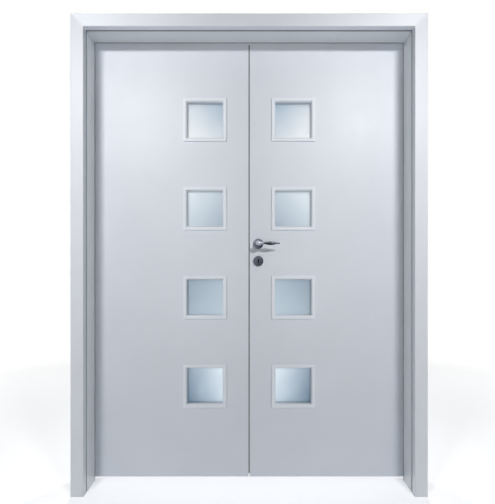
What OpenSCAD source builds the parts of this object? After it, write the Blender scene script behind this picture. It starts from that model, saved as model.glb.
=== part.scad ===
// French doors: two glazed flush leaves in a lined and cased door frame, without the wall.
// The middle of the doorway is at x = 0, the floor at z = 0, and the leaves open towards +y.

/* [Doorway] */
// Clear width between the jamb linings
clear_w = 1424; // [1300:1:1800]
// Clear height from the floor to the head lining
clear_h = 2020; // [1960:1:2300]

/* [Frame] */
// Width of each casing board
casing_w = 56; // [50:1:90]
// Thickness of each casing board
casing_t = 16; // [12:1:20]
// How far the front casing stands into the clear opening
casing_lip = 1; // [0.5:0.5:4]
// Depth from the face of the front casing to the end of its return leg
return_d = 30; // [26:0.5:40]
// Thickness of the return leg
return_t = 14; // [13:0.5:18]
// Open joint between the return leg and the lining, which takes up the thickness of the wall
open_joint = 16; // [4:0.5:24]
// Radius on the casing edges
casing_r = 3; // [1:0.5:4]
// Radius on the front edge of the lining
lining_r = 3; // [1:0.5:5]
// Thickness of the lining boards
lining_t = 28; // [26:1:36]
// Depth from the face of the front casing to the face of the leaves
reveal_d = 140; // [115:1:220]
// Width of the step in the lining that the leaf closes against
rebate_w = 12; // [10:0.5:13]
// Gap between the step and the leaf, which the seal fills
seal_gap = 3; // [2.5:0.5:5]
// Part of the lining edge that the back casing leaves bare
back_margin = 3; // [3:0.5:6]
// Thickness of the casing tongues
tongue_t = 5; // [4:0.5:6]
// Depth of the front casing tongue in the lining
tongue_d = 24; // [15:1:40]
// Depth of the back casing tongue in the lining
back_tongue_d = 10; // [6:1:12]
// Radius of the wall fixing holes in the jambs
fixing_r = 3; // [2.5:0.5:4]
// Distance between the two wall fixing holes of a jamb
fixing_pitch = 1000; // [700:10:1100]
// Height of the lower wall fixing hole
fixing_z = 520; // [400:10:700]

/* [Leaves] */
// Thickness of each leaf
leaf_t = 40; // [38:1:46]
// Thickness of each facing sheet
skin_t = 4; // [3:0.5:5]
// Gap under the leaves
floor_gap = 18; // [8:1:24]
// Gap between a leaf and the frame
edge_gap = 3; // [2.5:0.5:4]
// Gap between the two leaves
meeting_gap = 4.5; // [4:0.5:6]
// How far the brush seal reaches from the passive leaf
brush_reach = 2.6; // [1.5:0.1:2.7]

/* [Panes] */
// Outside size of each square bead frame
bead_size = 200; // [170:1:240]
// Width of the crowned face of a bead
bead_face = 12.5; // [11:0.5:16]
// Width of the slope from the bead face down to the glass
bead_slope = 6; // [5:0.5:12]
// Depth of that slope
bead_drop = 13.5; // [8:0.5:15]
// How far the beads stand proud of the leaf
bead_proud = 6; // [3:0.5:8]
// How far a bead laps over the edge of its opening
bead_lap = 7; // [5:0.5:9]
// Thickness of the glass
glass_t = 6; // [4:1:10]
// Width of the glass edge that the beads hold
glass_hold = 8.5; // [6:0.5:10]
// Distance of the pane centres from the middle of the doorway
pane_x = 203.5; // [200:0.5:300]
// Height from the bottom edge of a leaf to its lowest bead frame
bottom_rail = 317.5; // [250:0.5:400]
// Height from the highest bead frame to the top edge of a leaf
top_rail = 263.5; // [200:0.5:400]

/* [Hinges] */
// Height of each hinge
hinge_h = 100; // [80:1:140]
// Distance from the bottom edge of a leaf to the middle of its lowest hinge
hinge_low = 212; // [150:1:300]
// Distance from the top edge of a leaf to the middle of its highest hinge
hinge_high = 229; // [150:1:300]
// Radius of the hinge knuckles
knuckle_r = 6.5; // [6:0.25:9]
// Radius of the hinge pins
pin_r = 4; // [3:0.25:4.5]
// Thickness of the hinge plates
plate_t = 2.5; // [2:0.25:2.75]
// Width of the hinge plates
plate_w = 33; // [26:0.5:34]
// Thickness of the bearing washers
washer_t = 1.5; // [1:0.25:3]

/* [Lock and handle] */
// Height of the lever axis
handle_z = 1093; // [1000:1:1150]
// Distance from the lever axis down to the key axis
key_drop = 80; // [72:1:92]
// Distance from the edge of the leaf to the lever axis
backset = 40; // [35:1:55]
// Radius of the roses
rose_r = 23.5; // [22:0.5:30]
// Thickness of the roses
rose_t = 8; // [6:0.5:10]
// Thickness of the key plates
key_plate_t = 6; // [5:0.5:8]
// How far each lever stands out from the leaf
lever_out = 62; // [55:1:75]
// Length of each lever from its axis to its tip
lever_len = 97; // [85:1:130]
// Radius of the rounded head of the lever
head_r = 11.5; // [10:0.5:14]
// How far the head reaches beyond the lever axis
head_reach = 15; // [12:0.5:20]
// Radius of the waist behind the head
waist_r = 4.6; // [4:0.2:6]
// Radius of the grip at its fullest
grip_r = 8.25; // [7:0.25:10]
// Radius of the tip
tip_r = 2.8; // [2:0.2:5]
// Radius of the neck that turns in the rose
neck_r = 9; // [8:0.5:9.5]
// Side of the square spindle
spindle_w = 8; // [7:0.5:9]
// Width of the keyhole
keyhole_w = 5.5; // [4:0.5:7]
// Height of the keyhole
keyhole_h = 20; // [14:1:26]
// Thickness of the lock case
case_t = 16; // [14:1:20]
// Depth of the lock case behind its face plate
case_d = 62; // [60:1:75]
// Width of the face plate and strike plate
face_w = 20; // [18:1:24]
// Thickness of the face plate and strike plate
face_t = 3; // [2:0.5:4]
// Travel of the latch
latch_throw = 11; // [8:1:13]
// Travel of the dead bolt
dead_throw = 14; // [10:1:18]

/* [Flush bolts] */
// Radius of the bolt rods
rod_r = 4.5; // [3.5:0.5:5]
// Length of the bolt cases
bolt_case_h = 180; // [150:1:220]
// Distance from the end of the leaf to the bolt case
bolt_inset = 140; // [100:1:180]
// Width of the bolt case
bolt_case_w = 16; // [14:1:18]
// Travel of the upper bolt
upper_throw = 15; // [12:1:16]
// Travel of the lower bolt
lower_throw = 28; // [24:1:32]

/* [Fits] */
// Clearance of a pin that turns in its bore
run_gap = 0.05; // [0.02:0.01:0.1]
// Clearance of a tongue, plate or case in its recess
fit_gap = 0.3; // [0.2:0.05:0.5]
// Clearance of a bolt that slides in its guide
slide_gap = 0.4; // [0.3:0.05:0.6]

/* [Hidden] */
$fn = 64;
half_w = clear_w / 2;
lap = 1;
stop_d = reveal_d - seal_gap;
leaf_back = reveal_d + leaf_t;
leaf_mid = reveal_d + leaf_t / 2;
lining_front = return_d + open_joint;
lining_back = leaf_back - casing_t;
depth = leaf_back + lever_out;
casing_top = clear_h + rebate_w + back_margin + casing_w;
mitre_cut = 6 * casing_w + 2 * lining_t;
// Distances outward from the face of the lining
tongue_in = return_t - casing_lip - tongue_t;
rest_t = lining_t - rebate_w;
back_tongue_in = lining_t - tongue_t;
seal_in = rebate_w / 2;
seal_root_t = 2.6;
seal_root_d = 7;
// Distance of the wall fixing holes behind the step
fixing_back = 9;
// The leaf
leaf_in = meeting_gap / 2;
leaf_out = half_w + rebate_w - edge_gap;
leaf_top = clear_h + rebate_w - edge_gap;
leaf_h = leaf_top - floor_gap;
pane_count = 4;
lowest_pane = floor_gap + bottom_rail + bead_size / 2;
pane_pitch = (leaf_top - top_rail - bead_size / 2 - lowest_pane) / (pane_count - 1);
pane_zs = [for (i = [0:pane_count - 1]) lowest_pane + i * pane_pitch];
window = bead_size - 2 * bead_lap;
glass_size = bead_size - 2 * (bead_face + bead_slope) + 2 * glass_hold;
// The brush seal in the meeting edge
brush_root = 5;
brush_t = 2.5;
brush_cover = 2;
brush_d = leaf_back - skin_t - brush_cover - brush_t;
// The hinges
lowest_hinge = floor_gap + hinge_low;
highest_hinge = leaf_top - hinge_high;
hinge_zs = [lowest_hinge, (lowest_hinge + highest_hinge) / 2, highest_hinge];
hinge_setback = 1;
axis_x = half_w + rebate_w - edge_gap / 2;
axis_d = leaf_back + knuckle_r;
plate_back = leaf_back - hinge_setback;
plate_front = plate_back - plate_w;
pin_inset = 8;
// The lock
lever_x = leaf_in + backset;
key_z = handle_z - key_drop;
lever_d = reveal_d - lever_out + head_r;
waist_x = 2 * head_r;
// The grip is fullest at this share of the length
grip_share = 0.56;
grip_x = grip_share * lever_len;
rose_rim = 3;
key_plate_rim = 2;
ring_w = 2;
ring_d = 1.2;
ring_rs = [rose_r - 7, rose_r - 12];
socket_d = 28;
hub_wall = 2.6;
follower_r = spindle_w * sqrt(2) / 2 + hub_wall;
follower_disc_r = follower_r + 4;
spindle_bore_r = follower_r + 2 * fit_gap;
key_room = 2;
case_wall = 1.5;
// What slides or turns in the case is this thick
inner_t = case_t - 2 * case_wall - 2 * slide_gap;
case_below = 38;
case_above = 48;
case_low = key_z - case_below;
case_high = handle_z + case_above;
face_margin = 24;
// The withdrawn bolts stand this far behind the face plate
bolt_setback = 0.3;
bolt_room = 4.5;
latch_low = handle_z + follower_disc_r + bolt_room;
latch_h = 20;
latch_len = 20;
dead_low = key_z + keyhole_h / 2 + bolt_room;
dead_h = 24;
dead_len = 38;
// The latch tail and the follower arm lie this far to either side of the middle
layer_gap = 1;
// The flush bolts, measured from the meeting edge and from the end of the leaf
rod_in = face_t + bolt_case_w / 2;
rod_forward = 6;
rod_d = leaf_mid - rod_forward;
slider_w = 8;
slider_h = 30;
slider_play = 2;
slider_setback = 0.6;
slider_low = -bolt_inset - bolt_case_h / 2 - slider_h;
keep_t = 2;
keep_l = 44;
keep_w = 18;

paint = "#dfe3ea";
core_wood = "#d9c7a5";
frosted = "#c9d9e4";
steel = "#b9bcc0";
dark_steel = "#6c717b";
rubber = "#8a8d92";

// Depth is measured from the face of the front casing, and the origin lies at mid depth
module set_depth() {
    translate([0, -depth / 2, 0])
        children();
}

module left_side() {
    mirror([1, 0, 0])
        children();
}

// Turns what is built on the front face of a leaf over to its back face
module back_face() {
    translate([0, 2 * leaf_mid, 0])
        mirror([0, 1, 0])
            children();
}

// Half space above (1) or below (-1) the mitre plane of the right top corner
module beyond_mitre(side) {
    translate([half_w, -lap, clear_h])
        rotate([0, -45, 0])
            translate([-mitre_cut / 2, 0, side > 0 ? 0 : -mitre_cut])
                cube([mitre_cut, depth, mitre_cut]);
}

// Right upright of a section: x is the distance outward from the lining face, y the depth
module upright() {
    difference() {
        translate([half_w, 0, 0])
            linear_extrude(height = casing_top)
                children();
        beyond_mitre(1);
    }
}

// Head member of the same section, mitred at both ends
module crosspiece() {
    difference() {
        translate([0, 0, clear_h])
            rotate([0, -90, 0])
                linear_extrude(height = 2 * half_w + mitre_cut, center = true)
                    children();
        beyond_mitre(-1);
        left_side() beyond_mitre(-1);
    }
}

// Board section with its two front corners rounded
module round_board(w, t, r) {
    translate([r, 0])
        square([w - 2 * r, t]);
    translate([0, r])
        square([w, t - r]);
    for (x = [r, w - r])
        translate([x, r])
            circle(r = r);
}

module lining_section() {
    difference() {
        union() {
            translate([lining_r, lining_front])
                square([lining_t - lining_r, stop_d - lining_front]);
            translate([0, lining_front + lining_r])
                square([lining_t, stop_d - lining_front - lining_r]);
            translate([lining_r, lining_front + lining_r])
                circle(r = lining_r);
            translate([rebate_w, lining_front])
                square([rest_t, lining_back - lining_front]);
        }
        translate([tongue_in - fit_gap, lining_front - lap])
            square([tongue_t + 2 * fit_gap, tongue_d + fit_gap + lap]);
        translate([seal_in - seal_root_t / 2, stop_d - seal_root_d])
            square([seal_root_t, seal_root_d + lap]);
        translate([back_tongue_in - fit_gap, lining_back - back_tongue_d - fit_gap])
            square([tongue_t + fit_gap + lap, back_tongue_d + fit_gap + lap]);
    }
}

module front_casing_section() {
    translate([-casing_lip, 0])
        round_board(casing_w, casing_t, casing_r);
    translate([-casing_lip, casing_t - lap])
        square([return_t, return_d - casing_t + lap]);
    translate([tongue_in, return_d - lap])
        square([tongue_t, open_joint + tongue_d + lap]);
}

module back_casing_section() {
    translate([rebate_w + back_margin, leaf_back])
        mirror([0, 1])
            round_board(casing_w, casing_t, casing_r);
    translate([back_tongue_in, lining_back - back_tongue_d])
        square([tongue_t, back_tongue_d + lap]);
}

// Push-in root with a half round bulb that the leaf closes against
module seal_section() {
    bulb_r = seal_gap - fit_gap;
    translate([seal_in - seal_root_t / 2, stop_d - seal_root_d])
        square([seal_root_t, seal_root_d + lap / 2]);
    intersection() {
        translate([seal_in, stop_d])
            circle(r = bulb_r);
        translate([seal_in - bulb_r, stop_d])
            square([2 * bulb_r, bulb_r]);
    }
}

// Countersunk holes for the screws that hold a jamb to the wall
module jamb_fixings() {
    for (z = [fixing_z, fixing_z + fixing_pitch])
        translate([half_w + rebate_w, stop_d + fixing_back, z])
            rotate([0, 90, 0]) {
                translate([0, 0, -lap])
                    cylinder(r = fixing_r, h = rest_t + 2 * lap);
                translate([0, 0, -lap])
                    cylinder(r1 = 2 * fixing_r + lap, r2 = fixing_r, h = fixing_r + lap);
            }
}

module jamb_lining() {
    difference() {
        upright() lining_section();
        jamb_fixings();
        for (z = hinge_zs)
            translate([half_w + rebate_w - lap, plate_front - fit_gap, z - hinge_h / 2 - fit_gap])
                cube([plate_t + lap, plate_w + lap, hinge_h + 2 * fit_gap]);
    }
}

module left_jamb_lining() { color(paint) set_depth() left_side() jamb_lining(); }
module right_jamb_lining() { color(paint) set_depth() jamb_lining(); }

// Bore in the head that takes the upper flush bolt
module head_bolt_bore() {
    translate([-leaf_in - rod_in, rod_d, clear_h + rebate_w - lap])
        cylinder(r = rod_r + 2 * slide_gap, h = upper_throw + lap);
}

module head_keep_blank(gap) {
    translate([-leaf_in - rod_in, rod_d, clear_h + rebate_w])
        translate([-keep_l / 2 - gap, -keep_w / 2 - gap, 0])
            cube([keep_l + 2 * gap, keep_w + 2 * gap, keep_t]);
}

module head_lining() {
    color(paint)
        set_depth()
            difference() {
                crosspiece() lining_section();
                head_bolt_bore();
                head_keep_blank(fit_gap);
            }
}

module head_bolt_keep() {
    color(steel)
        set_depth()
            difference() {
                head_keep_blank(0);
                head_bolt_bore();
            }
}

module front_casing_left() { color(paint) set_depth() left_side() upright() front_casing_section(); }
module front_casing_right() { color(paint) set_depth() upright() front_casing_section(); }
module front_casing_head() { color(paint) set_depth() crosspiece() front_casing_section(); }

module back_casing_left() { color(paint) set_depth() left_side() upright() back_casing_section(); }
module back_casing_right() { color(paint) set_depth() upright() back_casing_section(); }

module back_casing_head() {
    color(paint)
        set_depth()
            difference() {
                crosspiece() back_casing_section();
                head_bolt_bore();
            }
}

module left_stop_seal() { color(rubber) set_depth() left_side() upright() seal_section(); }
module right_stop_seal() { color(rubber) set_depth() upright() seal_section(); }
module head_stop_seal() { color(rubber) set_depth() crosspiece() seal_section(); }

// Knuckle on the hinge axis, from z = 0 up, with its outer end chamfered
module knuckle() {
    bevel = 1;
    h = (hinge_h - washer_t) / 2;
    cylinder(r = knuckle_r, h = h - bevel);
    translate([0, 0, h - bevel])
        cylinder(r1 = knuckle_r, r2 = knuckle_r - bevel, h = bevel);
}

// Hinge half: a plate at plate_x with an arm to the knuckle above the middle, bored for the pin
module hinge_half(plate_x, bore_r) {
    difference() {
        union() {
            translate([plate_x, plate_front, -hinge_h / 2])
                cube([plate_t, plate_w, hinge_h]);
            translate([plate_x, plate_back - lap, washer_t / 2])
                cube([plate_t, axis_d - plate_back + lap, (hinge_h - washer_t) / 2]);
            translate([axis_x, axis_d, washer_t / 2])
                knuckle();
        }
        translate([axis_x, axis_d, 0])
            cylinder(r = bore_r, h = hinge_h / 2 - pin_inset + fit_gap);
    }
}

module hinge_frame_halves() {
    for (z = hinge_zs)
        translate([0, 0, z])
            mirror([0, 0, 1])
                hinge_half(half_w + rebate_w, pin_r);
}

module hinge_leaf_halves() {
    for (z = hinge_zs)
        translate([0, 0, z])
            hinge_half(leaf_out - plate_t, pin_r + run_gap);
}

module hinge_pins() {
    for (z = hinge_zs)
        translate([axis_x, axis_d, z - hinge_h / 2 + pin_inset - fit_gap])
            cylinder(r = pin_r, h = hinge_h - 2 * pin_inset + fit_gap);
}

module hinge_washers() {
    for (z = hinge_zs)
        translate([axis_x, axis_d, z - washer_t / 2])
            difference() {
                cylinder(r = knuckle_r - fit_gap, h = washer_t - run_gap);
                translate([0, 0, -lap])
                    cylinder(r = pin_r + run_gap, h = washer_t + 2 * lap);
            }
}

module left_hinge_frame_halves() { color(steel) set_depth() left_side() hinge_frame_halves(); }
module right_hinge_frame_halves() { color(steel) set_depth() hinge_frame_halves(); }
module left_hinge_pins() { color(dark_steel) set_depth() left_side() hinge_pins(); }
module right_hinge_pins() { color(dark_steel) set_depth() hinge_pins(); }
module left_hinge_washers() { color(rubber) set_depth() left_side() hinge_washers(); }
module right_hinge_washers() { color(rubber) set_depth() hinge_washers(); }
module left_hinge_leaf_halves() { color(steel) set_depth() left_side() hinge_leaf_halves(); }
module right_hinge_leaf_halves() { color(steel) set_depth() hinge_leaf_halves(); }

// One sheet of the right leaf, with its pane openings and hinge recesses
module leaf_sheet(d, t) {
    difference() {
        translate([leaf_in, d, floor_gap])
            cube([leaf_out - leaf_in, t, leaf_h]);
        for (z = pane_zs)
            translate([pane_x - window / 2, d - lap, z - window / 2])
                cube([window, t + 2 * lap, window]);
        for (z = hinge_zs)
            translate([leaf_out - plate_t, plate_front - fit_gap, z - hinge_h / 2 - fit_gap])
                cube([plate_t + lap, leaf_back - plate_front + fit_gap + lap, hinge_h + 2 * fit_gap]);
    }
}

module leaf_core() { leaf_sheet(reveal_d + skin_t, leaf_t - 2 * skin_t); }
module front_facing() { leaf_sheet(reveal_d, skin_t); }
module back_facing() { leaf_sheet(leaf_back - skin_t, skin_t); }

// Block on the meeting edge of the right leaf, centred on a depth
module edge_block(d, from_edge, length, width, low, high) {
    translate([leaf_in + from_edge, d - width / 2, low])
        cube([length, width, high - low]);
}

module keyhole(d, length, gap) {
    r = keyhole_w / 2 + gap;
    straight = keyhole_h - keyhole_w;
    translate([lever_x, d, key_z])
        rotate([-90, 0, 0])
            linear_extrude(height = length) {
                square([2 * r, straight], center = true);
                for (side = [-1, 1])
                    translate([0, side * straight / 2])
                        circle(r = r);
            }
}

module spindle_bore(r) {
    translate([lever_x, reveal_d - lap, handle_z])
        rotate([-90, 0, 0])
            cylinder(r = r, h = leaf_t + 2 * lap);
}

// What the lock needs cut out of the right leaf
module lock_cuts() {
    edge_block(leaf_mid, -lap, face_t + lap, face_w + 2 * fit_gap,
        case_low - face_margin - fit_gap, case_high + face_margin + fit_gap);
    edge_block(leaf_mid, 0, face_t + case_d + fit_gap, case_t + 2 * fit_gap,
        case_low - fit_gap, case_high + fit_gap);
    spindle_bore(spindle_bore_r);
    keyhole(reveal_d - lap, leaf_t + 2 * lap, key_room);
}

module right_leaf_core() { color(core_wood) set_depth() difference() { leaf_core(); lock_cuts(); } }
module right_leaf_front_facing() { color(paint) set_depth() difference() { front_facing(); lock_cuts(); } }
module right_leaf_back_facing() { color(paint) set_depth() difference() { back_facing(); lock_cuts(); } }

module bolt_guides(from_edge, length, extra) {
    edge_block(leaf_mid, from_edge, length, inner_t + 2 * extra,
        latch_low - extra, latch_low + latch_h + extra);
    edge_block(leaf_mid, from_edge, length, inner_t + 2 * extra,
        dead_low - extra, dead_low + dead_h + extra);
}

module lock_case() {
    color(steel)
        set_depth()
            difference() {
                edge_block(leaf_mid, face_t, case_d, case_t, case_low, case_high);
                edge_block(leaf_mid, face_t - lap, case_d - case_wall + lap, case_t - 2 * case_wall,
                    case_low + case_wall, case_high - case_wall);
                spindle_bore(follower_r + run_gap);
                keyhole(reveal_d, leaf_t, fit_gap);
            }
}

module lock_face_plate() {
    color(steel)
        set_depth()
            difference() {
                edge_block(leaf_mid, 0, face_t, face_w, case_low - face_margin, case_high + face_margin);
                bolt_guides(-lap, face_t + 2 * lap, slide_gap);
            }
}

// Spring latch, drawn back flush with the face plate, its nose sloped on the closing side
module latch_bolt() {
    nose_flat = 2;
    tail_t = 4;
    tail_len = 36;
    color(steel)
        set_depth() {
            translate([leaf_in + bolt_setback, leaf_mid, latch_low])
                linear_extrude(height = latch_h)
                    polygon([
                        [0, inner_t / 2],
                        [latch_len, inner_t / 2],
                        [latch_len, -inner_t / 2],
                        [inner_t, -inner_t / 2],
                        [0, inner_t / 2 - nose_flat]
                    ]);
            translate([leaf_in + bolt_setback + latch_len - lap, leaf_mid + layer_gap, latch_low + latch_h / 4])
                cube([tail_len, tail_t, latch_h / 2]);
        }
}

module dead_bolt() {
    color(steel)
        set_depth()
            edge_block(leaf_mid, bolt_setback, dead_len, inner_t, dead_low, dead_low + dead_h);
}

module square_bar(d, length, side) {
    translate([lever_x - side / 2, d, handle_z - side / 2])
        cube([side, length, side]);
}

// Hub that the spindle turns inside the lock case, with the arm that draws the latch
module follower() {
    arm_w = 7;
    arm_reach = 4;
    color(dark_steel)
        set_depth()
            difference() {
                union() {
                    translate([lever_x, leaf_mid - case_t / 2, handle_z])
                        rotate([-90, 0, 0])
                            cylinder(r = follower_r, h = case_t);
                    translate([lever_x, leaf_mid - inner_t / 2, handle_z])
                        rotate([-90, 0, 0])
                            cylinder(r = follower_disc_r, h = inner_t);
                    translate([lever_x - arm_w / 2, leaf_mid - inner_t / 2, handle_z])
                        cube([arm_w, inner_t / 2 - layer_gap, follower_disc_r + arm_reach]);
                }
                square_bar(reveal_d, leaf_t, spindle_w + 2 * run_gap);
            }
}

module spindle() {
    color(dark_steel)
        set_depth()
            square_bar(reveal_d - socket_d, leaf_t + 2 * socket_d, spindle_w);
}

// Smooth step from 0 to 1
function ease(t) = (1 - cos(180 * t)) / 2;

// Radius of the lever at a distance x along it: head, waist, full grip and slim tip
function lever_r(x) =
    x < waist_x ? head_r + (waist_r - head_r) * ease(x / waist_x) :
    x < grip_x ? waist_r + (grip_r - waist_r) * ease((x - waist_x) / (grip_x - waist_x)) :
    grip_r + (tip_r - grip_r) * ease((x - grip_x) / (lever_len - tip_r - grip_x));

// Half outline of the lever, turned about its own length, with a round tip
module lever_outline() {
    steps = 14;
    polygon(concat(
        [for (i = [0:steps]) let (a = 90 * i / steps) [head_r * sin(a), -head_reach * cos(a)]],
        [for (i = [1:steps]) let (x = waist_x * i / steps) [lever_r(x), x]],
        [for (i = [1:steps]) let (x = waist_x + (grip_x - waist_x) * i / steps) [lever_r(x), x]],
        [for (i = [1:steps]) let (x = grip_x + (lever_len - tip_r - grip_x) * i / steps) [lever_r(x), x]],
        [for (i = [1:steps]) let (a = 90 * i / steps) [tip_r * cos(a), lever_len - tip_r + tip_r * sin(a)]]
    ));
}

module lever() {
    difference() {
        union() {
            translate([lever_x, lever_d, handle_z])
                rotate([0, 90, 0])
                    rotate_extrude()
                        lever_outline();
            translate([lever_x, lever_d, handle_z])
                rotate([-90, 0, 0])
                    cylinder(r = neck_r, h = reveal_d - lap - lever_d);
        }
        square_bar(reveal_d - socket_d, socket_d + lap, spindle_w + 2 * run_gap);
    }
}

module front_lever() { color(dark_steel) set_depth() lever(); }
module back_lever() { color(dark_steel) set_depth() back_face() lever(); }

// Stands a turned piece on the front face of the right leaf
module on_leaf(z) {
    translate([lever_x, reveal_d, z])
        rotate([90, 0, 0])
            rotate_extrude()
                children();
}

// Turned disc section with a rounded rim
module disc_section(r, t, rim) {
    square([r - rim, t]);
    square([r, t - rim]);
    translate([r - rim, t - rim])
        circle(r = rim);
}

module rose() {
    on_leaf(handle_z)
        difference() {
            disc_section(rose_r, rose_t, rose_rim);
            translate([-lap, -lap])
                square([neck_r + run_gap + lap, rose_t + 2 * lap]);
        }
}

// Key plate with two ring grooves round the keyhole
module key_plate() {
    difference() {
        on_leaf(key_z)
            difference() {
                disc_section(rose_r, key_plate_t, key_plate_rim);
                for (r = ring_rs)
                    translate([r, key_plate_t - ring_d])
                        square([ring_w, ring_d + lap]);
            }
        keyhole(reveal_d - key_plate_t - lap, key_plate_t + 2 * lap, 0);
    }
}

module front_rose() { color(dark_steel) set_depth() rose(); }
module back_rose() { color(dark_steel) set_depth() back_face() rose(); }
module front_key_plate() { color(dark_steel) set_depth() key_plate(); }
module back_key_plate() { color(dark_steel) set_depth() back_face() key_plate(); }

// Section of a glazing bead with a crowned face: x runs inward from the outer edge, y is the depth
module bead_section() {
    inner = bead_face + bead_slope;
    round_r = 3;
    crown_r = 18;
    front = reveal_d - bead_proud;
    glass_face = leaf_mid - glass_t / 2;
    intersection() {
        union() {
            polygon([
                [0, reveal_d],
                [0, front + round_r],
                [round_r, front],
                [bead_face, front],
                [inner, front + bead_drop],
                [inner, glass_face],
                [bead_lap + fit_gap, glass_face],
                [bead_lap + fit_gap, reveal_d]
            ]);
            translate([round_r, front + round_r])
                circle(r = round_r);
        }
        translate([bead_face / 2, front + crown_r])
            circle(r = crown_r);
    }
}

// Half space on one side of the diagonal of a bead frame
module beyond_corner() {
    rotate([0, 45, 0])
        translate([-bead_size, 0, 0])
            cube([2 * bead_size, depth, bead_size]);
}

// Lower stick of a bead frame round the origin, mitred at both ends
module bead_stick() {
    difference() {
        translate([0, 0, -bead_size / 2])
            rotate([0, -90, 0])
                linear_extrude(height = bead_size, center = true)
                    bead_section();
        beyond_corner();
        left_side() beyond_corner();
    }
}

module bead_frames() {
    for (z = pane_zs)
        translate([pane_x, 0, z])
            for (turn = [0:3])
                rotate([0, 90 * turn, 0])
                    bead_stick();
}

module pane(i) {
    translate([pane_x - glass_size / 2, leaf_mid - glass_t / 2, pane_zs[i] - glass_size / 2])
        cube([glass_size, glass_t, glass_size]);
}

module left_front_beads() { color(paint) set_depth() left_side() bead_frames(); }
module left_back_beads() { color(paint) set_depth() left_side() back_face() bead_frames(); }
module right_front_beads() { color(paint) set_depth() bead_frames(); }
module right_back_beads() { color(paint) set_depth() back_face() bead_frames(); }
module left_pane_1() { color(frosted) set_depth() left_side() pane(0); }
module left_pane_2() { color(frosted) set_depth() left_side() pane(1); }
module left_pane_3() { color(frosted) set_depth() left_side() pane(2); }
module left_pane_4() { color(frosted) set_depth() left_side() pane(3); }
module right_pane_1() { color(frosted) set_depth() pane(0); }
module right_pane_2() { color(frosted) set_depth() pane(1); }
module right_pane_3() { color(frosted) set_depth() pane(2); }
module right_pane_4() { color(frosted) set_depth() pane(3); }

// What the strike, flush bolts and brush need cut out of the left leaf, built on its right hand twin
module passive_cuts() {
    edge_block(leaf_mid, -lap, face_t + lap, face_w + 2 * fit_gap,
        case_low - face_margin - fit_gap, case_high + face_margin + fit_gap);
    bolt_guides(0, max(latch_throw, dead_throw) + meeting_gap, 2 * slide_gap);
    at_leaf_ends() flush_bolt_cuts();
    translate([leaf_in - lap, brush_d, floor_gap - lap])
        cube([brush_root + lap, brush_t, leaf_h + 2 * lap]);
}

// Places a piece at the top end of the leaf and, turned over, at its bottom end
module at_top() { translate([0, 0, leaf_top]) children(); }
module at_bottom() { translate([0, 0, floor_gap]) mirror([0, 0, 1]) children(); }
module at_leaf_ends() { at_top() children(); at_bottom() children(); }

module bolt_rod_bore(r, low, high) {
    translate([leaf_in + rod_in, rod_d, low])
        cylinder(r = r, h = high - low);
}

module flush_bolt_cuts() {
    edge_block(rod_d, -lap, face_t + lap, face_w + 2 * fit_gap,
        -bolt_inset - bolt_case_h - face_margin - fit_gap, -bolt_inset + face_margin + fit_gap);
    edge_block(rod_d, 0, face_t + bolt_case_w + fit_gap, bolt_case_w + 2 * fit_gap,
        -bolt_inset - bolt_case_h - fit_gap, -bolt_inset + fit_gap);
    bolt_rod_bore(rod_r + slide_gap, -bolt_inset, lap);
}

// Face plate and hollow case, with a slot for the slider and a bore for the rod
module flush_bolt_case() {
    slot_top = slider_low + slider_h + max(upper_throw, lower_throw) + slider_play;
    difference() {
        union() {
            edge_block(rod_d, 0, face_t, face_w,
                -bolt_inset - bolt_case_h - face_margin, -bolt_inset + face_margin);
            edge_block(rod_d, face_t - lap, bolt_case_w + lap, bolt_case_w,
                -bolt_inset - bolt_case_h, -bolt_inset);
        }
        edge_block(rod_d, face_t, bolt_case_w - case_wall, bolt_case_w - 2 * case_wall,
            -bolt_inset - bolt_case_h + case_wall, -bolt_inset - case_wall);
        edge_block(rod_d, -lap, face_t + 2 * lap, slider_w + 2 * slide_gap,
            slider_low - slider_play, slot_top);
        bolt_rod_bore(rod_r + slide_gap, -bolt_inset - 2 * case_wall, lap);
    }
}

// Rod with the thumb slider that works it, drawn back inside the end of the leaf
module flush_bolt_rod() {
    grooves = 4;
    groove_d = 0.8;
    groove_w = 2;
    difference() {
        union() {
            bolt_rod_bore(rod_r, slider_low, -lap);
            edge_block(rod_d, slider_setback, rod_in - slider_setback, slider_w,
                slider_low, slider_low + slider_h);
        }
        for (i = [1:grooves])
            translate([0, 0, slider_low + i * slider_h / (grooves + 1)])
                edge_block(rod_d, 0, slider_setback + groove_d, slider_w + 2 * lap,
                    -groove_w / 2, groove_w / 2);
    }
}

module left_leaf_core() {
    color(core_wood)
        set_depth()
            left_side()
                difference() {
                    leaf_core();
                    passive_cuts();
                }
}

module left_leaf_front_facing() { color(paint) set_depth() left_side() front_facing(); }
module left_leaf_back_facing() { color(paint) set_depth() left_side() back_facing(); }

module strike_plate() {
    color(steel)
        set_depth()
            left_side()
                difference() {
                    edge_block(leaf_mid, 0, face_t, face_w, case_low - face_margin, case_high + face_margin);
                    bolt_guides(-lap, face_t + 2 * lap, 2 * slide_gap);
                }
}

module meeting_brush() {
    color(rubber)
        set_depth()
            left_side()
                translate([leaf_in - brush_reach, brush_d, floor_gap])
                    cube([brush_root + brush_reach, brush_t, leaf_h]);
}

module upper_bolt_case() { color(steel) set_depth() left_side() at_top() flush_bolt_case(); }
module lower_bolt_case() { color(steel) set_depth() left_side() at_bottom() flush_bolt_case(); }
module upper_bolt_rod() { color(dark_steel) set_depth() left_side() at_top() flush_bolt_rod(); }
module lower_bolt_rod() { color(dark_steel) set_depth() left_side() at_bottom() flush_bolt_rod(); }

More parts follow.
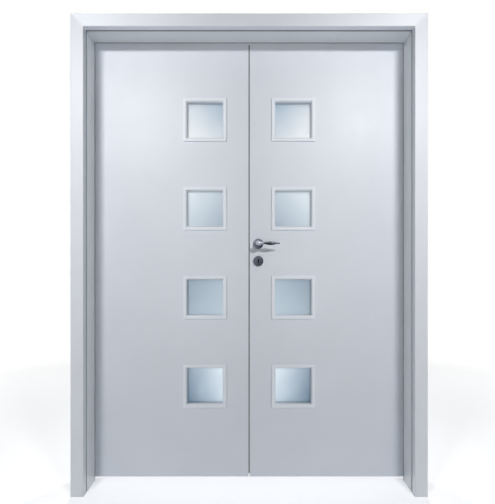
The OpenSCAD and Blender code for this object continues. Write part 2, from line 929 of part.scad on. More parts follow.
left_jamb_lining();
right_jamb_lining();
head_lining();
front_casing_left();
front_casing_right();
front_casing_head();
back_casing_left();
back_casing_right();
back_casing_head();
left_stop_seal();
right_stop_seal();
head_stop_seal();
left_hinge_frame_halves();
right_hinge_frame_halves();
left_hinge_pins();
right_hinge_pins();
left_hinge_washers();
right_hinge_washers();
head_bolt_keep();
left_leaf_core();
left_leaf_front_facing();
left_leaf_back_facing();
left_pane_1();
left_pane_2();
left_pane_3();
left_pane_4();
left_front_beads();
left_back_beads();
left_hinge_leaf_halves();
strike_plate();
meeting_brush();
upper_bolt_case();
lower_bolt_case();
upper_bolt_rod();
lower_bolt_rod();
right_leaf_core();
right_leaf_front_facing();
right_leaf_back_facing();
right_pane_1();
right_pane_2();
right_pane_3();
right_pane_4();
right_front_beads();
right_back_beads();
right_hinge_leaf_halves();
lock_case();
lock_face_plate();
front_rose();
back_rose();
front_key_plate();
back_key_plate();
front_lever();
back_lever();
spindle();
follower();
latch_bolt();
dead_bolt();
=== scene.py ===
import bpy
import numpy as np
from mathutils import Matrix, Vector


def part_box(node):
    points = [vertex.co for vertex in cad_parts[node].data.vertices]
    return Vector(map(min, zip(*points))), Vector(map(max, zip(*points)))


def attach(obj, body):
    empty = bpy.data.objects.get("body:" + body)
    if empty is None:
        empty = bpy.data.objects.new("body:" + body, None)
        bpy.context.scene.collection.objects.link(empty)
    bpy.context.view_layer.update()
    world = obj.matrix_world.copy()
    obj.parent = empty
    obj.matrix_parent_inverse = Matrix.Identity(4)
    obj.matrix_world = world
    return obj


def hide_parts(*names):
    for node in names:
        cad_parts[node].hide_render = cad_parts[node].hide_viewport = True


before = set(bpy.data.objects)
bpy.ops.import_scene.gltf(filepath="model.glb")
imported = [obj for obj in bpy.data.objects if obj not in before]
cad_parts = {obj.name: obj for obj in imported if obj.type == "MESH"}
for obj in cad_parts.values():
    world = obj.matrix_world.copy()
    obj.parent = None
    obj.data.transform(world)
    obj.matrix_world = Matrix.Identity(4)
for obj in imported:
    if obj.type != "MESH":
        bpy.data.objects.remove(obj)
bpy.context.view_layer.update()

MM = 0.001

# Camera that stands in front of the doors, in metres
SENSOR = 36
LENS = 30.06
EYE = Vector((0, -1.925, 0.995))
SHIFT = (-0.0032, 0.0258)

# Lamps at the corners, in metres, watts and degrees: for their own half, the jamb across and the head
LAMP_X = 1.25
LAMP_Y = -2.6
LAMP_Z = 2.65
LAMP_SIZE = (0.6, 0.24)
OWN_AIM_X = 0.4
OWN_AIM_Z = 1.0
OWN_SPREAD = 110
OWN_W = 18.8
ACROSS_SPREAD = 180
ACROSS_W = 18.5
HEAD_AIM_X = 0.9
HEAD_AIM_Z = 1.9
HEAD_SPREAD = 50
HEAD_W = 4.2

# A piece whose middle is nearer to the meeting line than this, in metres, belongs to neither half
HALF_APART = 0.05

# Low lamp in front that fills the shadows, in metres, watts and degrees
FILL_PLACE = (0, -3.2, 0.4)
FILL_AIM = (0, 0, 2.1)
FILL_SIZE = (2.0, 0.4)
FILL_SPREAD = 60
FILL_W = 1.95

# Room's own light, and glow of the floor: for every ray, in metal and glass, and as the camera sees it
# near the doors and far off, with the distances in metres between which it rises
ROOM_LEVEL = 0.1
FLOOR_HALF = 12
FLOOR_GLOW = 0.05
FLOOR_SEEN = 0.85
FLOOR_NEAR = 0.31
FLOOR_FAR = 0.87
FLOOR_RISE = (1.3, 3.6)

# Panes from the lowest row up, with painted light and shade on the glass: tone at the dim end, tone
# at the bright end, and the way to the bright end as shares of outwards and upwards
PANE_PAINTED_LIGHT = (
    ("#55748d", "#e9f4fb", (-1, 0.4)),
    ("#9fafbe", "#ccdce6", (-1, -0.7)),
    ("#a9b8c7", "#edf7fc", (1, 0.7)),
    ("#a6bccd", "#fcfdff", (1, -1)),
)

# Lever: tones of the painted highlight on its head below and above, and where the grip with its painted
# dark reflection begins past the axis, in metres
HEAD_PAINTED_HIGHLIGHT = ("#8b929c", "#d5dbe3")
GRIP_FROM = 18 * MM
GRIP_TO = 24 * MM

# Reach of the nickel's painted shade each way, and how far over the axis the lever's middle tone of it lies,
# in metres
PLATE_PAINTED_SHADE_REACH = 20 * MM
LEVER_PAINTED_SHADE_REACH = 4 * MM
LEVER_PAINTED_SHADE_UP = 3 * MM

# Eased edges of casings and linings, in metres
ARRIS = 0.8 * MM
WELD_WITHIN = 0.01 * MM

# Glazing beads, in metres: the inner edge, width and power of the outer rounding, width and height of
# the inner one, the leg, and a spot inside the section, as distances in from the outer edge and out
BEAD_INNER = 18.5 * MM
BEAD_ROUND = 2.5 * MM
BEAD_POWER = 5
BEAD_NOSE = (9 * MM, 13.5 * MM)
BEAD_LEG = 7.2 * MM
BEAD_HEART = (12 * MM, 1 * MM)
LEAF_HALF = 20 * MM
GLASS_HALF = 3 * MM

# Raised countersunk screws, in metres
HEAD_R = 4 * MM
CROWN = 0.7 * MM
SINK = 2 * MM
RECESS_D = 0.6 * MM
RECESS_HALF_W = 0.55 * MM
RECESS_HALF_LEN = 2.3 * MM
RECESS_SLOPE = 0.3 * MM
PLATE_END = 12 * MM
KEEP_END = 7 * MM

# Plates of the lift-off hinges, in metres
HINGE_H = 100 * MM
HINGE_PLATE_W = 33 * MM
HINGE_COUNT = 3
HINGE_GAP = 3 * MM
HINGE_SCREW_Z = np.array([-36, -12, 12, 36]) * MM
HINGE_SCREW_Y = np.array([7, -7, 7, -7]) * MM

# Brush pile in the meeting edge, in metres
PILE_REACH = 4.5 * MM
PILE_RAGGED = 0.2 * MM
PILE_STEP = 1.5 * MM
TUFT_PITCH = 5 * MM

# Rubber sections round the opening, whose grey and dark also paint the shade in the joints, in metres:
# distances out from the lining's face, and back from the casing's front for the gasket and from the
# leaf's front for the lip of the stop seal
GASKET_OUT = np.array([2.4, 1.6, 1.6, 2.4, 7.5, 7.5]) * MM
GASKET_BACK = np.array([30.2, 33, 43, 45.8, 45.8, 30.2]) * MM
LIP_OUT = np.array([0.2, -0.6, -0.6, 0.2, 3, 3]) * MM
LIP_BACK = np.array([-2.9, -2.4, -0.9, -0.4, -0.4, -2.9]) * MM

# Curtain inside the lock: half its width, thickness and height, in metres
CURTAIN_HALF = (7 * MM, 3 * MM, 10.5 * MM)


def linear(code):
    """Linear RGBA of an sRGB hex colour, by the standard straight toe and power curve."""
    srgb = np.array([int(code[i:i + 2], 16) for i in (1, 3, 5)]) / 255
    rgb = np.where(srgb <= 0.04045, srgb / 12.92, ((srgb + 0.055) / 1.055) ** 2.4)
    return (*rgb.tolist(), 1)


def add(tree, kind, settings=None, links=None):
    """Adds a node: a setting goes to the property or input of that name, a link to that input."""
    new = tree.nodes.new(kind)
    for name, value in (settings or {}).items():
        if str(name) in new.bl_rna.properties:
            setattr(new, name, value)
        else:
            new.inputs[name].default_value = value
    for name, socket in (links or {}).items():
        tree.links.new(socket, new.inputs[name])
    return new


def per_metre(size_mm):
    """Texture scale that makes one feature of a noise about this many millimetres wide."""
    return 1 / (size_mm * MM)


def start_material(name):
    """Empty node material with its shader and the object coordinates that patterns read."""
    material = bpy.data.materials.new(name)
    material.use_nodes = True
    tree = material.node_tree
    tree.nodes.clear()
    shader = add(tree, "ShaderNodeBsdfPrincipled")
    add(tree, "ShaderNodeOutputMaterial", links={"Surface": shader.outputs["BSDF"]})
    place = add(tree, "ShaderNodeTexCoord").outputs["Object"]
    return material, tree, shader, place


def two_tone(tree, factor, low, high, start=0.35, end=0.65):
    """Colour ramp between two hex colours, linked to a factor."""
    ramp = add(tree, "ShaderNodeValToRGB", links={"Fac": factor})
    ramp.color_ramp.elements[0].position = start
    ramp.color_ramp.elements[0].color = linear(low)
    ramp.color_ramp.elements[1].position = end
    ramp.color_ramp.elements[1].color = linear(high)
    return ramp.outputs["Color"]


def tone_along(tree, place, along, offset):
    """Tone that runs straight through space: the place times a vector, plus an offset."""
    run = add(tree, "ShaderNodeVectorMath", {"operation": "DOT_PRODUCT", 1: along}, {0: place})
    return add(tree, "ShaderNodeMath", {"operation": "ADD", 1: offset}, {0: run.outputs["Value"]}).outputs[0]


def satin_paint(name, low, high, rough):
    """Sprayed satin lacquer on smooth board.

    It gives an even cool white with a soft sheen, a faint unevenness of coat over a hand's
    width, and the shallow ripple of a sprayed film.
    """
    material, tree, shader, place = start_material(name)
    coat = add(tree, "ShaderNodeTexNoise", {"Scale": per_metre(180), "Detail": 2.0}, {"Vector": place})
    tree.links.new(two_tone(tree, coat.outputs["Fac"], low, high), shader.inputs["Base Color"])
    film = add(tree, "ShaderNodeTexNoise", {"Scale": per_metre(40), "Detail": 3.0}, {"Vector": place})
    sheen = add(tree, "ShaderNodeMapRange", {"To Min": rough - 0.05, "To Max": rough + 0.05},
                {"Value": film.outputs["Fac"]})
    tree.links.new(sheen.outputs["Result"], shader.inputs["Roughness"])
    # The ripple of a sprayed film is about 2 mm wide and some microns high, drawn 4 mm wide to show
    ripple = add(tree, "ShaderNodeTexNoise", {"Scale": per_metre(4), "Detail": 1.0}, {"Vector": place})
    bump = add(tree, "ShaderNodeBump", {"Strength": 0.12, "Distance": 0.05 * MM},
               {"Height": ripple.outputs["Fac"]})
    tree.links.new(bump.outputs["Normal"], shader.inputs["Normal"])
    shader.inputs["IOR"].default_value = 1.5
    return material


def etched_glass(row, dim, bright, way):
    """Acid-etched float glass: pale blue-grey, with painted light and shade for the blurred light and
    dark of the room behind.

    The painted light runs straight across the pane, from 0 at its dim end to 1 at its bright end, by
    0.5 + a * (outwards from the centre) + b * (upwards from the centre), with a faint cloud on it.
    """
    material, tree, shader, place = start_material(f"acid_etched_float_glass_{row}")
    low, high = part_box(f"left_pane_{row}")
    centre = (low + high) / 2
    across, up = 0.5 * np.array(way) / np.abs(way).sum() / np.array([high.x - centre.x, high.z - centre.z])
    cloud_depth = 0.16
    offset = 0.5 - cloud_depth / 2 + across * centre.x - up * centre.z
    outward = add(tree, "ShaderNodeVectorMath", {"operation": "ABSOLUTE"}, {0: place}).outputs["Vector"]
    # Painted light and shade: a tone straight across the pane, from its dim end to its bright end
    tone = tone_along(tree, outward, (across, 0, up), offset)
    cloud = add(tree, "ShaderNodeTexNoise", {"Scale": per_metre(60), "Detail": 1.0}, {"Vector": place})
    tone = add(tree, "ShaderNodeMath", {"operation": "MULTIPLY_ADD", 1: cloud_depth},
               {0: cloud.outputs["Fac"], 2: tone})
    tree.links.new(two_tone(tree, tone.outputs[0], dim, bright, 0, 1), shader.inputs["Base Color"])
    # The etched grain is some tenths of a millimetre, drawn 1.5 mm wide to show
    grain = add(tree, "ShaderNodeTexNoise", {"Scale": per_metre(1.5), "Detail": 2.0}, {"Vector": place})
    bite = add(tree, "ShaderNodeMapRange", {"To Min": 0.42, "To Max": 0.58}, {"Value": grain.outputs["Fac"]})
    tree.links.new(bite.outputs["Result"], shader.inputs["Roughness"])
    shader.inputs["Transmission Weight"].default_value = 0.85
    shader.inputs["IOR"].default_value = 1.52
    return material


def nickel(name, low, high, way, spot, reach):
    """Dark nickel plating: a smoky mirror with buffing marks, and painted shade that makes it darker on the
    side turned from the lamps.

    The painted shade runs from 0 to 1 along the way, over the reach on each side of the spot. A painted
    highlight makes a lever's head pale, and past it a painted dark reflection makes the grip dark.
    """
    material, tree, shader, place = start_material(name)
    way = Vector(way).normalized() / (2 * reach)
    # Painted shade: the tone runs from dark to light along the way
    tone = tone_along(tree, place, way, 0.5 - way.dot(spot))
    buff = add(tree, "ShaderNodeTexNoise", {"Scale": per_metre(6), "Detail": 4.0}, {"Vector": place})
    colour = two_tone(tree, tone, low, high, 0, 1)
    if "lever" in name:
        # Painted highlight on the lever's head, and painted dark reflection on the grip past it
        along = add(tree, "ShaderNodeSeparateXYZ", links={0: place}).outputs["X"]
        past_head = add(tree, "ShaderNodeMapRange",
                        {"From Min": spot[0] + GRIP_FROM, "From Max": spot[0] + GRIP_TO}, {"Value": along})
        pale = two_tone(tree, tone, HEAD_PAINTED_HIGHLIGHT[0], HEAD_PAINTED_HIGHLIGHT[1], 0, 1)
        # Inputs 6 and 7 of a colour mix are its two colours, and output 2 is the result
        mix = add(tree, "ShaderNodeMix", {"data_type": "RGBA"})
        tree.links.new(past_head.outputs["Result"], mix.inputs["Factor"])
        tree.links.new(pale, mix.inputs[6])
        tree.links.new(colour, mix.inputs[7])
        colour = mix.outputs[2]
    tree.links.new(colour, shader.inputs["Base Color"])
    polish = add(tree, "ShaderNodeMapRange", {"To Min": 0.14, "To Max": 0.26},
                 {"Value": buff.outputs["Fac"]})
    tree.links.new(polish.outputs["Result"], shader.inputs["Roughness"])
    shader.inputs["Metallic"].default_value = 1
    return material


def drawn_steel(name, low, high):
    """Pressed steel, zinc plated or near-black, where the near-black is painted shade: a soft grey metal
    with a fine drawn grain.
    """
    material, tree, shader, place = start_material(name)
    # The drawn grain is some tenths of a millimetre, drawn 1.2 mm wide to show, and runs upright
    stretch = add(tree, "ShaderNodeMapping", {"Scale": (1, 1, 0.08)}, {"Vector": place})
    grain = add(tree, "ShaderNodeTexNoise", {"Scale": per_metre(1.2), "Detail": 3.0},
                {"Vector": stretch.outputs["Vector"]})
    tree.links.new(two_tone(tree, grain.outputs["Fac"], low, high), shader.inputs["Base Color"])
    drawn = add(tree, "ShaderNodeMapRange", {"To Min": 0.28, "To Max": 0.42},
                {"Value": grain.outputs["Fac"]})
    tree.links.new(drawn.outputs["Result"], shader.inputs["Roughness"])
    shader.inputs["Metallic"].default_value = 1
    return material


def seal_rubber(name, low, high):
    """Extruded seal rubber: matt grey with a faint bloom."""
    material, tree, shader, place = start_material(name)
    bloom = add(tree, "ShaderNodeTexNoise", {"Scale": per_metre(9), "Detail": 3.0}, {"Vector": place})
    tree.links.new(two_tone(tree, bloom.outputs["Fac"], low, high), shader.inputs["Base Color"])
    shader.inputs["Roughness"].default_value = 0.7
    return material


def nylon_pile():
    """Grey nylon pile of a brush seal: matt, with painted shade for the gaps between the tufts in the darker
    patches of its noise, and dark enough to paint the shade in the meeting gap too.
    """
    material, tree, shader, place = start_material("nylon_brush_pile_and_painted_shade")
    # The bristles are some tenths of a millimetre, drawn 1.5 mm wide to show
    tufts = add(tree, "ShaderNodeTexNoise", {"Scale": per_metre(1.5), "Detail": 3.0}, {"Vector": place})
    # Painted shade: the darker patches stand for the gaps between tufts
    tree.links.new(two_tone(tree, tufts.outputs["Fac"], "#26282c", "#3a3d42"), shader.inputs["Base Color"])
    shader.inputs["Roughness"].default_value = 0.85
    return material


def middle(node):
    """Middle of a node's box."""
    low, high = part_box(node)
    return (low + high) / 2


def dress_nodes():
    """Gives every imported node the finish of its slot, and each row of panes its own glass."""
    finish = {
        "white_paint": satin_paint("satin_lacquer_on_board", "#dfe4ec", "#e1e6ee", 0.42),
        # Painted light: paler than the board lacquer, so that the casings read as catching more light
        "casing": satin_paint("paler_lacquer_on_casing_painted_light", "#e7ebf1", "#e9edf3", 0.42),
        "lining": satin_paint("satin_lacquer_on_lining", "#dfe4e7", "#e1e6e9", 0.42),
        # Painted highlight: paler than the board lacquer, so that the beads read bright
        "bead": satin_paint("paler_lacquer_on_beads_painted_highlight", "#eaeef5", "#ecf0f7", 0.4),
        "leaf_core": satin_paint("satin_lacquer_on_edge", "#dce1e9", "#dee3eb", 0.46),
        "plated_steel": drawn_steel("zinc_plated_steel", "#a4a7ab", "#c3c6ca"),
        "seal_rubber": seal_rubber("dark_seal_rubber", "#1f2125", "#2b2d31"),
        "brush_pile": nylon_pile(),
    }
    for row, tones in enumerate(PANE_PAINTED_LIGHT, 1):
        finish[f"pane_{row}"] = etched_glass(row, *tones)
    axis = middle("front_rose")
    key = middle("front_key_plate")
    over = axis + Vector((0, 0, LEVER_PAINTED_SHADE_UP))
    aslant = (-1, 0, 1)
    # Painted shade on the nickel: lighter upwards on the lever, and up to the left on the rose and key plate
    finish["lever"] = nickel("dark_nickel_lever", "#20232b", "#868d98", (0, 0, 1), over, LEVER_PAINTED_SHADE_REACH)
    finish["rose"] = nickel("dark_nickel_rose", "#3a3e47", "#7b818c", aslant, axis, PLATE_PAINTED_SHADE_REACH)
    finish["key_plate"] = nickel("dark_nickel_key_plate", "#3c4049", "#5c616b", aslant, key,
                                 PLATE_PAINTED_SHADE_REACH)
    kinds = ("casing", "lining", "pane_1", "pane_2", "pane_3", "pane_4", "lever", "rose", "key_plate")
    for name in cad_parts:
        own = [kind for kind in kinds if kind in name]
        for slot in bpy.data.objects[name].material_slots:
            slot.material = finish[own[0] if own else slot.material.name.split(".")[0]]
    return finish


def ease_edges():
    """Breaks the arrises of casings and linings, so that they catch light and joints show as fine lines."""
    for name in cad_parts:
        if "casing" not in name and "lining" not in name:
            continue
        piece = bpy.data.objects[name]
        weld = piece.modifiers.new("join", "WELD")
        weld.merge_threshold = WELD_WITHIN
        arris = piece.modifiers.new("arris", "BEVEL")
        arris.width = ARRIS
        arris.segments = 2
        arris.limit_method = "ANGLE"
        arris.harden_normals = True


def skin(rows, columns, copies=1):
    """Faces over rings of points, each end closed by a fan to an end point, for some copies.

    The points are counted ring by ring, and the two end points come last.
    """
    row, column = np.meshgrid(np.arange(rows - 1), np.arange(columns), indexing="ij")
    beside = (column + 1) % columns
    quads = np.stack([row * columns + column, (row + 1) * columns + column,
                      (row + 1) * columns + beside, row * columns + beside], -1).reshape(-1, 4)
    ring = np.arange(columns)
    after = (ring + 1) % columns
    last = (rows - 1) * columns
    first_end = np.full(columns, rows * columns)
    fans = np.concatenate([np.stack([first_end, ring, after], -1),
                           np.stack([first_end + 1, last + after, last + ring], -1)])
    step = (np.arange(copies) * (rows * columns + 2))[:, None, None]
    return (quads + step).reshape(-1, 4).tolist() + (fans + step).reshape(-1, 3).tolist()


def new_piece(name, points, faces, body, material):
    """Puts computed points and faces into a smooth mesh that rides on a body."""
    mesh = bpy.data.meshes.new(name)
    mesh.from_pydata(points.reshape(-1, 3).tolist(), [], faces)
    mesh.materials.append(material)
    mesh.shade_smooth()
    piece = bpy.data.objects.new(name, mesh)
    bpy.context.collection.objects.link(piece)
    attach(piece, body)
    return piece


def bead_section(proud, deep):
    """Section of a bead: distances in from its outer edge, and out from the leaf.

    A quarter of a full ellipse, with powers above two, rises from the outer edge to the crown, and a
    plain one falls from the crown to the inner edge. Straight lines go down to the glass and back.
    """
    turn = np.linspace(0, np.pi / 2, 15)
    full = 2 / BEAD_POWER
    rise = (BEAD_ROUND * (1 - np.cos(turn) ** full), proud * np.sin(turn) ** full)
    fall = (BEAD_INNER - BEAD_NOSE[0] * (1 - np.sin(turn)), proud - BEAD_NOSE[1] * (1 - np.cos(turn)))
    leg = ((BEAD_INNER, BEAD_LEG, BEAD_LEG), (-deep, -deep, 0))
    return [np.concatenate(part) for part in zip(rise, fall, leg)]


def bead_sticks(leaf, face, way, paint):
    """Mitred glazing beads on one face of a leaf: four sticks round each of its panes.

    Each stick is one section carried from corner to corner of its square. At a corner a point of the
    section lies on the diagonal, half the square less its distance in from the outer edge.
    """
    node = f"{leaf}_{face}_beads"
    low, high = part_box(node)
    half = (high.x - low.x) / 2
    plane = middle(f"{leaf}_pane_1").y + way * LEAF_HALF
    inward, out = bead_section((high.y if way > 0 else -low.y) - way * plane, LEAF_HALF - GLASS_HALF)
    centre = np.array([middle(f"{leaf}_pane_{row}") for row in range(1, 5)])[:, :, None, None, None]
    corner = np.array([(-1, -1), (1, -1), (1, 1), (-1, 1)])[::-way]
    ends = np.stack([corner, np.roll(corner, -1, 0)], 1)
    reach = half - np.append(inward, BEAD_HEART[0])
    x = centre[:, 0] + ends[:, :, :1] * reach
    z = centre[:, 2] + ends[:, :, 1:] * reach
    y = np.broadcast_to(plane + way * np.append(out, BEAD_HEART[1]), x.shape)
    grid = np.stack([x, y, z], -1).reshape(16, 2, -1, 3)
    points = np.concatenate([grid[:, :, :-1].reshape(16, -1, 3), grid[:, :, -1]], 1)
    piece = new_piece(f"{leaf}_{face}_bead_sticks", points, skin(2, len(inward), 16), f"{leaf}_leaf",
                      paint)
    piece.data.set_sharp_from_angle(angle=np.radians(30))
    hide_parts(node)


def soft_step(distance, half, slope):
    """1 inside the half width and 0 outside it, with a straight slope between."""
    return np.clip((half - np.abs(distance)) / slope + 0.5, 0, 1)


def screw_head(columns=48):
    """Points and ring count of a raised countersunk head about the origin, looking along +z.

    On a polar grid the top is a dome, CROWN * (1 - (r / HEAD_R)^2), less a cross recess, which is
    the larger of two crossed bars with sloped edges. Past the rim the rings run down the countersink.
    """
    reach = np.concatenate([np.linspace(0.1, 1, 10), [0.7, 0.4]])[:, None] * HEAD_R
    angle = np.arange(columns) * 2 * np.pi / columns
    x = reach * np.cos(angle)
    y = reach * np.sin(angle)
    long_x = soft_step(y, RECESS_HALF_W, RECESS_SLOPE) * soft_step(x, RECESS_HALF_LEN, RECESS_SLOPE)
    long_y = soft_step(x, RECESS_HALF_W, RECESS_SLOPE) * soft_step(y, RECESS_HALF_LEN, RECESS_SLOPE)
    z = CROWN * (1 - (reach / HEAD_R) ** 2) - RECESS_D * np.maximum(long_x, long_y)
    z[-2:] = np.array([[-SINK / 2], [-SINK]])
    ends = np.array([[0, 0, CROWN - RECESS_D], [0, 0, -SINK]])
    return np.concatenate([np.stack([x, y, z], -1).reshape(-1, 3), ends]), len(reach), columns


def screws(name, spots, looks, body, steel):
    """Screw heads at some spots, each looking along one axis and turned a golden angle on from the last.

    A head's point goes to spot + x * side + y * up + z * look, with its x and y turned first.
    """
    head, rows, columns = screw_head()
    spots = np.array(spots, float)[:, None, :]
    look = np.array(looks, float)[:, None, :]
    side = np.cross(look, np.roll(look, 1, -1))
    up = np.cross(look, side)
    turn = np.arange(len(spots))[:, None] * np.pi * (3 - np.sqrt(5))
    x = head[:, 0] * np.cos(turn) - head[:, 1] * np.sin(turn)
    y = head[:, 0] * np.sin(turn) + head[:, 1] * np.cos(turn)
    points = spots + x[..., None] * side + y[..., None] * up + head[:, 2, None] * look
    new_piece(name, points, skin(rows, columns, len(spots)), body, steel)


def plate_ends(node, face, look):
    """Spots near both ends of an upright face plate, on the face at that x, and the way they look."""
    low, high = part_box(node)
    y = (low.y + high.y) / 2
    return [(face, y, low.z + PLATE_END), (face, y, high.z - PLATE_END)], [(look, 0, 0)] * 2


def hinge_spots(node, face, look):
    """Spots of the screws in a column of hinge plates, four to a plate in a zigzag."""
    low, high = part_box(node)
    middles = np.linspace(low.z + HINGE_H / 2, high.z - HINGE_H / 2, HINGE_COUNT)
    z = (middles[:, None] + HINGE_SCREW_Z).ravel()
    y = np.tile(low.y + HINGE_PLATE_W / 2 + HINGE_SCREW_Y, HINGE_COUNT)
    return np.stack([np.full(len(z), face), y, z], -1).tolist(), [(look, 0, 0)] * len(z)


def all_screws(steel):
    """Screws of the hinges, lock face, strike, flush bolts and head keep, grouped by body."""
    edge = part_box("right_leaf_core")[1].x
    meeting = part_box("right_leaf_core")[0].x
    keep_low, keep_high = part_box("head_bolt_keep")
    keep_y = (keep_low.y + keep_high.y) / 2
    keep_spots = [(keep_low.x + KEEP_END, keep_y, keep_low.z), (keep_high.x - KEEP_END, keep_y, keep_low.z)]
    groups = {
        "frame": [
            hinge_spots("left_hinge_frame_halves", -edge - HINGE_GAP, 1),
            hinge_spots("right_hinge_frame_halves", edge + HINGE_GAP, -1),
            (keep_spots, [(0, 0, -1)] * 2),
        ],
        "left_leaf": [
            hinge_spots("left_hinge_leaf_halves", -edge, -1),
            plate_ends("strike_plate", -meeting, 1),
            plate_ends("upper_bolt_case", -meeting, 1),
            plate_ends("lower_bolt_case", -meeting, 1),
        ],
        "right_leaf": [
            hinge_spots("right_hinge_leaf_halves", edge, 1),
            plate_ends("lock_face_plate", meeting, -1),
        ],
    }
    for body, rows in groups.items():
        spots = sum((row[0] for row in rows), [])
        looks = sum((row[1] for row in rows), [])
        screws(f"{body}_screws", spots, looks, body, steel)


def brush_pile(pile):
    """Brush seal along the meeting edge: a backing strip in its groove and a ragged pile.

    One section, as shares of the depth and of half the thickness, is carried down the leaf. Past
    the edge its depth is the reach of the pile, less two sine waves along the height.
    """
    low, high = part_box("meeting_brush")
    edge = -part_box("right_leaf_core")[0].x
    z = np.linspace(high.z, low.z, int((high.z - low.z) / PILE_STEP))[:, None]
    waves = np.sin(z * 2 * np.pi / TUFT_PITCH) + np.sin(z * 2 * np.pi / (1.7 * TUFT_PITCH) + 1)
    reach = PILE_REACH - PILE_RAGGED * (1 + waves / 2) / 2
    inside = np.array([1, 0, 0, 0, 0, 0, 0, 0, 0, 1])
    past = np.array([0, 0, 0, 0.6, 1, 1, 0.6, 0, 0, 0])
    thick = np.array([-1, -1, -0.6, -0.75, -0.4, 0.4, 0.75, 0.6, 1, 1])
    x = edge - inside * (edge - low.x) + past * reach
    y = np.broadcast_to((low.y + high.y) / 2 + thick * (high.y - low.y) / 2, x.shape)
    rings = np.stack([x, y, np.broadcast_to(z, x.shape)], -1)
    ends = rings[[0, -1]].mean(1)
    points = np.concatenate([rings.reshape(-1, 3), ends])
    piece = new_piece("brush_pile", points, skin(len(z), len(thick)), "left_leaf", pile)
    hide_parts("meeting_brush")


def opening_seal(name, out, y, rubber):
    """Rubber strip round the opening: up one jamb, across the head and down the other.

    One section, as distances out from the lining's face and places in depth, is carried along the
    two jambs and the head, with mitred corners.
    """
    half = -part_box("left_jamb_lining")[1].x
    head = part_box("head_lining")[0].z
    across = np.array([-1, -1, 1, 1])[:, None]
    up = np.array([0, 1, 1, 0])[:, None]
    x = across * (half + out)
    rings = np.stack([x, np.broadcast_to(y, x.shape), up * (head + out)], -1)
    points = np.concatenate([rings.reshape(-1, 3), rings[[0, -1]].mean(1)])
    piece = new_piece(name, points, skin(*rings.shape[:2]), "frame", rubber)
    piece.data.shade_flat()


def opening_seals(dark_rubber):
    """Grey gasket in the open joint between casing and lining, and the lip of the stop seal. Both are real
    seals, and their grey and dark rubber also paints the shade in these joints.
    """
    casing_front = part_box("front_casing_head")[0].y
    leaf_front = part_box("left_leaf_front_facing")[0].y
    grey_rubber = seal_rubber("grey_gasket_rubber_and_painted_shade", "#7a7e84", "#878b91")
    # Real seals, whose grey and dark also paint the shade in the joints
    opening_seal("joint_gasket_and_painted_shade", GASKET_OUT, casing_front + GASKET_BACK, grey_rubber)
    opening_seal("stop_seal_lip_and_painted_shade", LIP_OUT, leaf_front + LIP_BACK, dark_rubber)


def key_curtain(steel):
    """Curtain of the lock, that closes the keyhole inside the case: a pillow over an ellipse. Its near-black
    steel is also painted shade, for the dark inside the lock behind the keyhole.

    A point at share s of the ellipse and angle a lies at x = s * half width * cos(a), z = s * half
    height * sin(a), and in front or at the back of the middle by half the thickness * (1 - s^4).
    """
    share = np.array([0.4, 0.7, 0.9, 1, 0.9, 0.7, 0.4])[:, None]
    side = np.array([-1, -1, -1, 0, 1, 1, 1])[:, None]
    angle = np.arange(32) * 2 * np.pi / 32
    spot = middle("front_key_plate")
    y = middle("lock_case").y + side * CURTAIN_HALF[1] * (1 - share ** 4)
    rings = np.stack([spot.x + share * CURTAIN_HALF[0] * np.cos(angle),
                      np.broadcast_to(y, (len(share), len(angle))),
                      spot.z + share * CURTAIN_HALF[2] * np.sin(angle)], -1)
    ends = np.array([(spot.x, y[0, 0], spot.z), (spot.x, y[-1, 0], spot.z)])
    points = np.concatenate([rings.reshape(-1, 3), ends])
    new_piece("key_curtain", points, skin(*rings.shape[:2]), "right_leaf", steel)


def light_room():
    """White surroundings for camera, mirror and glass rays, and a dimmer light for the rest."""
    world = bpy.data.worlds.new("studio")
    bpy.context.scene.world = world
    world.use_nodes = True
    tree = world.node_tree
    tree.nodes.clear()
    path = add(tree, "ShaderNodeLightPath").outputs
    seen = add(tree, "ShaderNodeMath", {"operation": "MAXIMUM"},
               {0: path["Is Camera Ray"], 1: path["Is Glossy Ray"]})
    seen = add(tree, "ShaderNodeMath", {"operation": "MAXIMUM"},
               {0: seen.outputs[0], 1: path["Is Transmission Ray"]})
    white = add(tree, "ShaderNodeBackground", {"Color": (1, 1, 1, 1), "Strength": 1.0})
    room = add(tree, "ShaderNodeBackground", {"Color": (1, 1, 1, 1), "Strength": ROOM_LEVEL})
    mix = add(tree, "ShaderNodeMixShader",
              links={0: seen.outputs[0], 1: room.outputs[0], 2: white.outputs[0]})
    add(tree, "ShaderNodeOutputWorld", links={"Surface": mix.outputs[0]})


def lamp(name, place, aim, size, power, spread, lights):
    """Wide soft lamp with a grid over it, turned to aim at a point, that lights only some objects."""
    data = bpy.data.lights.new(name, "AREA")
    data.shape = "RECTANGLE"
    data.size, data.size_y = size
    data.energy = power
    data.spread = np.radians(spread)
    new = bpy.data.objects.new(name, data)
    bpy.context.collection.objects.link(new)
    new.location = place
    new.rotation_euler = (Vector(aim) - Vector(place)).to_track_quat("-Z", "Y").to_euler()
    lit = bpy.data.collections.new(f"{name}_lights")
    for piece in lights:
        lit.objects.link(piece)
    new.light_linking.receiver_collection = lit


def middle_x(piece):
    """Middle of a piece's box across the doors."""
    across = [corner[0] for corner in piece.bound_box]
    return (min(across) + max(across)) / 2


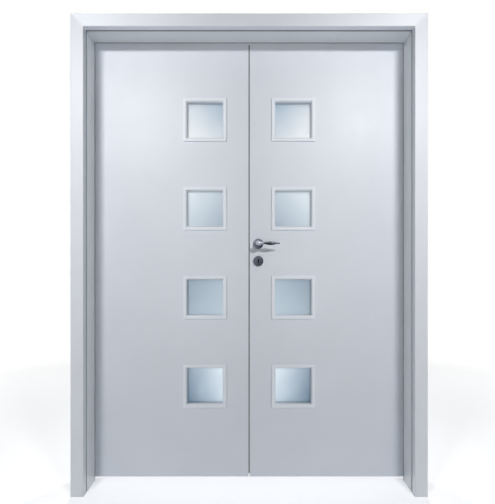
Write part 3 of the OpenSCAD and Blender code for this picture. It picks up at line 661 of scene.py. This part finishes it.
def pale_floor():
    """Plain floor that keeps a soft shadow and looks white.

    What the camera sees of it glows more with the distance from the doors, as the lamps' light falls off.
    """
    floor = bpy.data.meshes.new("floor")
    corners = np.array([(-1, -1, 0), (1, -1, 0), (1, 1, 0), (-1, 1, 0)]) * FLOOR_HALF
    floor.from_pydata(corners.tolist(), [], [(0, 1, 2, 3)])
    ground = bpy.data.objects.new("floor", floor)
    bpy.context.collection.objects.link(ground)
    material = bpy.data.materials.new("pale_floor")
    material.use_nodes = True
    tree = material.node_tree
    tree.nodes.clear()
    path = add(tree, "ShaderNodeLightPath").outputs
    matt = add(tree, "ShaderNodeBsdfDiffuse", {"Color": linear("#e9ebee")})
    mirrored = add(tree, "ShaderNodeMath", {"operation": "MAXIMUM"},
                   {0: path["Is Glossy Ray"], 1: path["Is Transmission Ray"]})
    level = add(tree, "ShaderNodeMath", {"operation": "MULTIPLY_ADD", 1: FLOOR_SEEN, 2: FLOOR_GLOW},
                {0: mirrored.outputs[0]})
    away = add(tree, "ShaderNodeVectorMath", {"operation": "LENGTH"},
               {0: add(tree, "ShaderNodeTexCoord").outputs["Object"]})
    rise = add(tree, "ShaderNodeMapRange",
               {"interpolation_type": "SMOOTHSTEP", "From Min": FLOOR_RISE[0], "From Max": FLOOR_RISE[1],
                "To Min": FLOOR_NEAR, "To Max": FLOOR_FAR}, {"Value": away.outputs["Value"]})
    level = add(tree, "ShaderNodeMath", {"operation": "MULTIPLY_ADD"},
                {0: path["Is Camera Ray"], 1: rise.outputs["Result"], 2: level.outputs[0]})
    glow = add(tree, "ShaderNodeEmission", {"Color": (1, 1, 1, 1)}, {"Strength": level.outputs[0]})
    both = add(tree, "ShaderNodeAddShader", links={0: matt.outputs[0], 1: glow.outputs[0]})
    add(tree, "ShaderNodeOutputMaterial", links={"Surface": both.outputs[0]})
    floor.materials.append(material)
    return ground


def studio():
    """Gridded soft lamps high at each corner, a low fill and a white room.

    Each corner has one lamp for its own half, one for the lining across and one for the head. The back
    lamps leave the panes out, so that they don't glare through the etched glass.
    """
    pieces = [o for o in bpy.context.scene.objects if o.type == "MESH"]
    ground = pale_floor()
    head = [o for o in pieces if abs(middle_x(o)) < HALF_APART]
    for side, name in ((-1, "left"), (1, "right")):
        own = [o for o in pieces if middle_x(o) * side > HALF_APART]
        facing = [bpy.data.objects[f"{n}_jamb_lining"] for n in ("left", "right") if n != name]
        own_aim = (side * OWN_AIM_X, 0, OWN_AIM_Z)
        across_aim = (0, 0, OWN_AIM_Z)
        head_aim = (side * HEAD_AIM_X, 0, HEAD_AIM_Z)
        for y, end in ((LAMP_Y, "front"), (-LAMP_Y, "back")):
            place = (side * LAMP_X, y, LAMP_Z)
            lit = [o for o in own + [ground] if end == "front" or "pane" not in o.name]
            lamp(f"{name}_{end}_lamp", place, own_aim, LAMP_SIZE, OWN_W, OWN_SPREAD, lit)
            lamp(f"{name}_{end}_lamp_across", place, across_aim, LAMP_SIZE, ACROSS_W, ACROSS_SPREAD, facing)
            lamp(f"{name}_{end}_lamp_head", place, head_aim, LAMP_SIZE, HEAD_W, HEAD_SPREAD, head)
    lamp("low_fill", FILL_PLACE, FILL_AIM, FILL_SIZE, FILL_W, FILL_SPREAD, pieces)
    light_room()


def camera():
    """Camera at the photograph's height and distance, level and square to the doors."""
    data = bpy.data.cameras.new("camera")
    data.sensor_width = SENSOR
    data.lens = LENS
    data.shift_x, data.shift_y = SHIFT
    eye = bpy.data.objects.new("camera", data)
    bpy.context.collection.objects.link(eye)
    eye.location = EYE
    eye.rotation_euler = (np.radians(90), 0, 0)
    bpy.context.scene.camera = eye


bpy.context.scene.view_settings.view_transform = "Standard"
camera()
finish = dress_nodes()
ease_edges()
for leaf in ("left", "right"):
    bead_sticks(leaf, "front", -1, finish["bead"])
    bead_sticks(leaf, "back", 1, finish["bead"])
all_screws(finish["plated_steel"])
brush_pile(finish["brush_pile"])
opening_seals(finish["seal_rubber"])
# Near-black steel: painted shade inside the lock, behind the keyhole
key_curtain(drawn_steel("near_black_curtain_steel_and_painted_shade", "#1b1c20", "#26282d"))
studio()
